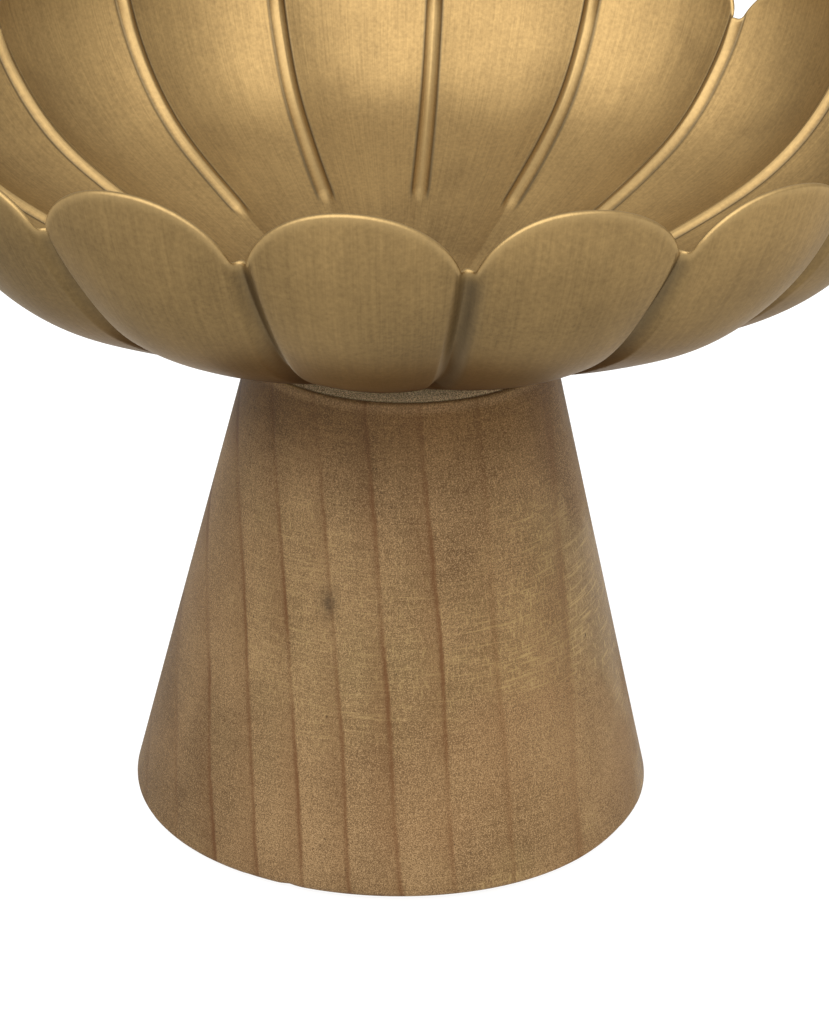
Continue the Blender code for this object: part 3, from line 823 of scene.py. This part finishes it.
def split_washer():
    """Lock washer: a square bar wound once, its two ends cut at a slant."""
    lo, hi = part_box("spring_washer")
    r0, r1 = 0.00415, 0.0074
    zc, hz = (lo[2] + hi[2]) / 2, (hi[2] - lo[2]) / 2 - 0.00012
    e = 0.0002
    sec = [(r0 + e, -hz), (r1 - e, -hz), (r1, -hz + e), (r1, hz - e),
           (r1 - e, hz), (r0 + e, hz), (r0, hz - e), (r0, -hz + e)]
    n = 72
    a = np.linspace(radians(6), radians(354), n)
    verts = []
    for i, t in enumerate(a):
        rise = 0.00012 * (2 * i / (n - 1) - 1)
        for r, dz in sec:
            tt = t + dz * 0.28 / r                      # slanted ends
            verts.append((r * cos(tt), r * sin(tt), zc + dz + rise))
    m = len(sec)
    faces = []
    for i in range(n - 1):
        for k in range(m):
            a0, b0 = i * m + k, i * m + (k + 1) % m
            faces.append((a0, b0, b0 + m, a0 + m))
    faces.append(tuple(range(m))[::-1])
    faces.append(tuple((n - 1) * m + k for k in range(m)))
    return face_out(make_mesh("spring_washer_fine", verts, faces, sharp=35))


finish(split_washer(), "spring_washer", STEEL_DARK)


def fine_nut():
    """Hexagon nut with chamfered corners and a countersunk threaded hole."""
    lo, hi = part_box("hex_nut")
    z0, z1 = lo[2], hi[2]
    flat, hole = 0.0065, 0.00415
    cols = 144
    az = np.arange(cols) / cols * 2 * pi
    # distance to the hexagon's side at each azimuth
    k = (az + pi / 6 - pi / 6) % (pi / 3) - pi / 6
    hexr = flat / np.cos(k)
    chamfer = 0.00655
    drop = np.clip(hexr - chamfer, 0, 1) * 0.577
    one = np.ones(cols)
    rows = [(hole * one, z0 + 0.0008 * one), ((hole + 0.0006) * one, z0 * one),
            (0.0056 * one, z0 * one), (np.minimum(hexr, chamfer) * 0.985, z0 * one),
            (hexr, z0 + drop + 0.00008), (hexr, (z0 + z1) / 2 * one), (hexr, z1 - drop - 0.00008),
            (np.minimum(hexr, chamfer) * 0.985, z1 * one), (0.0056 * one, z1 * one),
            ((hole + 0.0006) * one, z1 * one), (hole * one, z1 - 0.0008 * one)]
    # thread inside, as shallow rings
    turns = 4
    for i in range(1, turns * 4):
        t = i / (turns * 4)
        depth = 0.00022 if i % 2 else 0.0
        rows.append(((hole + depth) * one, (z1 - 0.0008 + (z0 - z1 + 0.0016) * t) * one))
    P = np.stack([np.stack([r * np.cos(az), r * np.sin(az), z], -1) for r, z in rows])
    return face_out(make_mesh("hex_nut_fine", P.reshape(-1, 3),
                              grid_faces(len(rows), cols, wrap_rows=True).tolist(), sharp=25))


finish(fine_nut(), "hex_nut", STEEL)


def fine_stud():
    """Threaded rod: a helical ridge on its visible lower part."""
    lo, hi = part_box("threaded_stud")
    z0, z1 = lo[2], hi[2]
    R, root, pitch = 0.00385, 0.00330, 0.00125
    cols = 48
    az = np.arange(cols) / cols * 2 * pi
    zs = np.concatenate([np.arange(z0 + 0.0010, z0 + 0.0300, pitch / 8),
                         np.linspace(z0 + 0.0302, z1 - 0.0003, 12)])
    rows = [(0.0022 * np.ones(cols), z0 * np.ones(cols)),
            (0.0030 * np.ones(cols), z0 * np.ones(cols)),
            (0.0034 * np.ones(cols), (z0 + 0.0005) * np.ones(cols))]
    for zv in zs:
        ph = (zv / pitch - az / (2 * pi)) % 1.0
        tri = 1.0 - np.abs(2 * ph - 1.0)
        crest = np.clip(tri * 1.35, 0.0, 1.0)
        r = root + (R - root) * crest
        if zv > z0 + 0.0300:
            r = np.full(cols, 0.0036)
        lead = min(1.0, (zv - z0 - 0.0008) / 0.0016)
        r = np.minimum(r, 0.0034 + (R - 0.0034) * lead)
        rows.append((r, zv * np.ones(cols)))
    rows.append((0.0033 * np.ones(cols), z1 * np.ones(cols)))
    P = np.stack([np.stack([r * np.cos(az), r * np.sin(az), z], -1) for r, z in rows])
    n = len(rows) * cols
    verts = np.concatenate([P.reshape(-1, 3), [[0, 0, z0], [0, 0, z1]]])
    faces = grid_faces(len(rows), cols).tolist()
    b = (len(rows) - 1) * cols
    for i in range(cols):
        j = (i + 1) % cols
        faces.append((j, i, n))
        faces.append((b + i, b + j, n + 1))
    return face_out(make_mesh("threaded_stud_fine", verts, faces, sharp=50))


finish(fine_stud(), "threaded_stud", STEEL_DARK)


def fine_pad(k):
    node = "felt_pad_%d" % (k + 1)
    lo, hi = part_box(node)
    cx, cy = (lo[0] + hi[0]) / 2, (lo[1] + hi[1]) / 2
    R = (hi[0] - lo[0]) / 2
    z0, z1 = lo[2], hi[2]
    cols = 90
    az = np.arange(cols) / cols * 2 * pi
    fray = 0.00012 * wave(az, 50 + k, 14, 5)
    one = np.ones(cols)
    rows = [(R * q * one, z0 * one) for q in (0.25, 0.5, 0.75, 0.9)]
    for t in np.linspace(0, 1, 6):
        ang = t * pi / 2
        rows.append((R - 0.0005 + 0.0005 * sin(ang) + fray * t, z0 + 0.0005 * (1 - cos(ang)) * one))
    rows.append((R + fray, (z1 - 0.0002) * one))
    rows.append((R - 0.0002 + fray, z1 * one))
    rows += [(R * q * one, z1 * one) for q in (0.9, 0.5)]
    P = np.stack([np.stack([cx + r * np.cos(az), cy + r * np.sin(az), z], -1) for r, z in rows])
    n = len(rows) * cols
    verts = np.concatenate([P.reshape(-1, 3), [[cx, cy, z0], [cx, cy, z1]]])
    faces = grid_faces(len(rows), cols).tolist()
    b = (len(rows) - 1) * cols
    for i in range(cols):
        j = (i + 1) % cols
        faces.append((j, i, n))
        faces.append((b + i, b + j, n + 1))
    obj = face_out(make_mesh("felt_pad_%d_fine" % (k + 1), verts, faces, sharp=50))
    finish(obj, node, FELT)


for k in range(4):
    fine_pad(k)

# the plate is shut in between bowl and wood: it keeps its CAD shape
for obj in bpy.data.objects:
    if obj.get("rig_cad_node") == "mount_plate":
        obj.data.materials.clear()
        obj.data.materials.append(STEEL_DARK)


# ============================================================ floor and light
def floor_material():
    N = Nodes("studio_floor")
    N.put(N.shader.inputs["Base Color"], (0.24, 0.24, 0.24))
    N.put(N.shader.inputs["Roughness"], 0.9)
    N.put(N.shader.inputs["Specular IOR Level"], 0.1)
    N.put(N.shader.inputs["Emission Color"], (1.0, 1.0, 1.0))
    N.put(N.shader.inputs["Emission Strength"], 0.86)
    return N.mat


floor = make_mesh("studio_floor", [(-6, -6, 0), (6, -6, 0), (6, 6, 0), (-6, 6, 0)], [(0, 1, 2, 3)],
                  smooth=False)
floor.location.z = -0.0002
floor.data.materials.append(floor_material())

world = bpy.data.worlds.new("studio")
scene.world = world
world.use_nodes = True
wt = world.node_tree
bg = wt.nodes["Background"]
tc = wt.nodes.new("ShaderNodeTexCoord")
sepw = wt.nodes.new("ShaderNodeSeparateXYZ")
wt.links.new(tc.outputs["Generated"], sepw.inputs[0])


def ramp(source, a, b, lo, hi):
    n = wt.nodes.new("ShaderNodeMapRange")
    n.interpolation_type = "SMOOTHSTEP"
    wt.links.new(source, n.inputs[0])
    for i, v in enumerate((a, b, lo, hi)):
        n.inputs[i + 1].default_value = v
    return n.outputs[0]


def facing(azimuth, elevation):
    """How nearly a direction of the surroundings points to the given one."""
    n = wt.nodes.new("ShaderNodeVectorMath")
    n.operation = "DOT_PRODUCT"
    wt.links.new(tc.outputs["Generated"], n.inputs[0])
    a, e = radians(azimuth), radians(elevation)
    n.inputs[1].default_value = (sin(a) * cos(e), -cos(a) * cos(e), sin(e))
    return n.outputs["Value"]


def add(*values):
    out = values[0]
    for v in values[1:]:
        n = wt.nodes.new("ShaderNodeMath")
        n.operation = "ADD"
        wt.links.new(out, n.inputs[0])
        wt.links.new(v, n.inputs[1])
        out = n.outputs[0]
    return out


KEY, FILL = 2.85, 0.1
# even grey room, a very wide soft source high in front, left of the middle,
# and a weaker one low on the right
glow = add(ramp(sepw.outputs[2], 0.0, 1.0, 0.60, 1.10),
           ramp(sepw.outputs[0], -1.0, 1.0, -0.06, 0.10),
           ramp(facing(-20, 34), 0.30, 1.0, 0.0, KEY),
           ramp(facing(75, 25), 0.40, 0.98, 0.0, FILL))
comb = wt.nodes.new("ShaderNodeCombineXYZ")
for s in comb.inputs:
    wt.links.new(glow, s)
wt.links.new(comb.outputs[0], bg.inputs[0])
bg.inputs[1].default_value = 1.0


# ===================================================================== camera
D, ZC = 0.67102, 0.38987 + PED_Z0
TILT, YAW, ROLL = 0.43090, 0.007463, 0.014037
FOCAL_PX = 2609.86
fw = Vector((sin(YAW) * cos(TILT), cos(YAW) * cos(TILT), -sin(TILT)))
rt = fw.cross(Vector((0, 0, 1))).normalized()
up = rt.cross(fw)
right = rt * cos(ROLL) + up * sin(ROLL)
upward = -rt * sin(ROLL) + up * cos(ROLL)
cam_data = bpy.data.cameras.new("camera")
cam = bpy.data.objects.new("camera", cam_data)
scene.collection.objects.link(cam)
cam.matrix_world = Matrix(((right.x, upward.x, -fw.x, 0.0),
                           (right.y, upward.y, -fw.y, -D),
                           (right.z, upward.z, -fw.z, ZC),
                           (0.0, 0.0, 0.0, 1.0)))
cam_data.sensor_fit = "AUTO"
cam_data.sensor_width = 36.0
cam_data.lens = FOCAL_PX / 1024.0 * 36.0
cam_data.clip_start = 0.01
scene.camera = cam
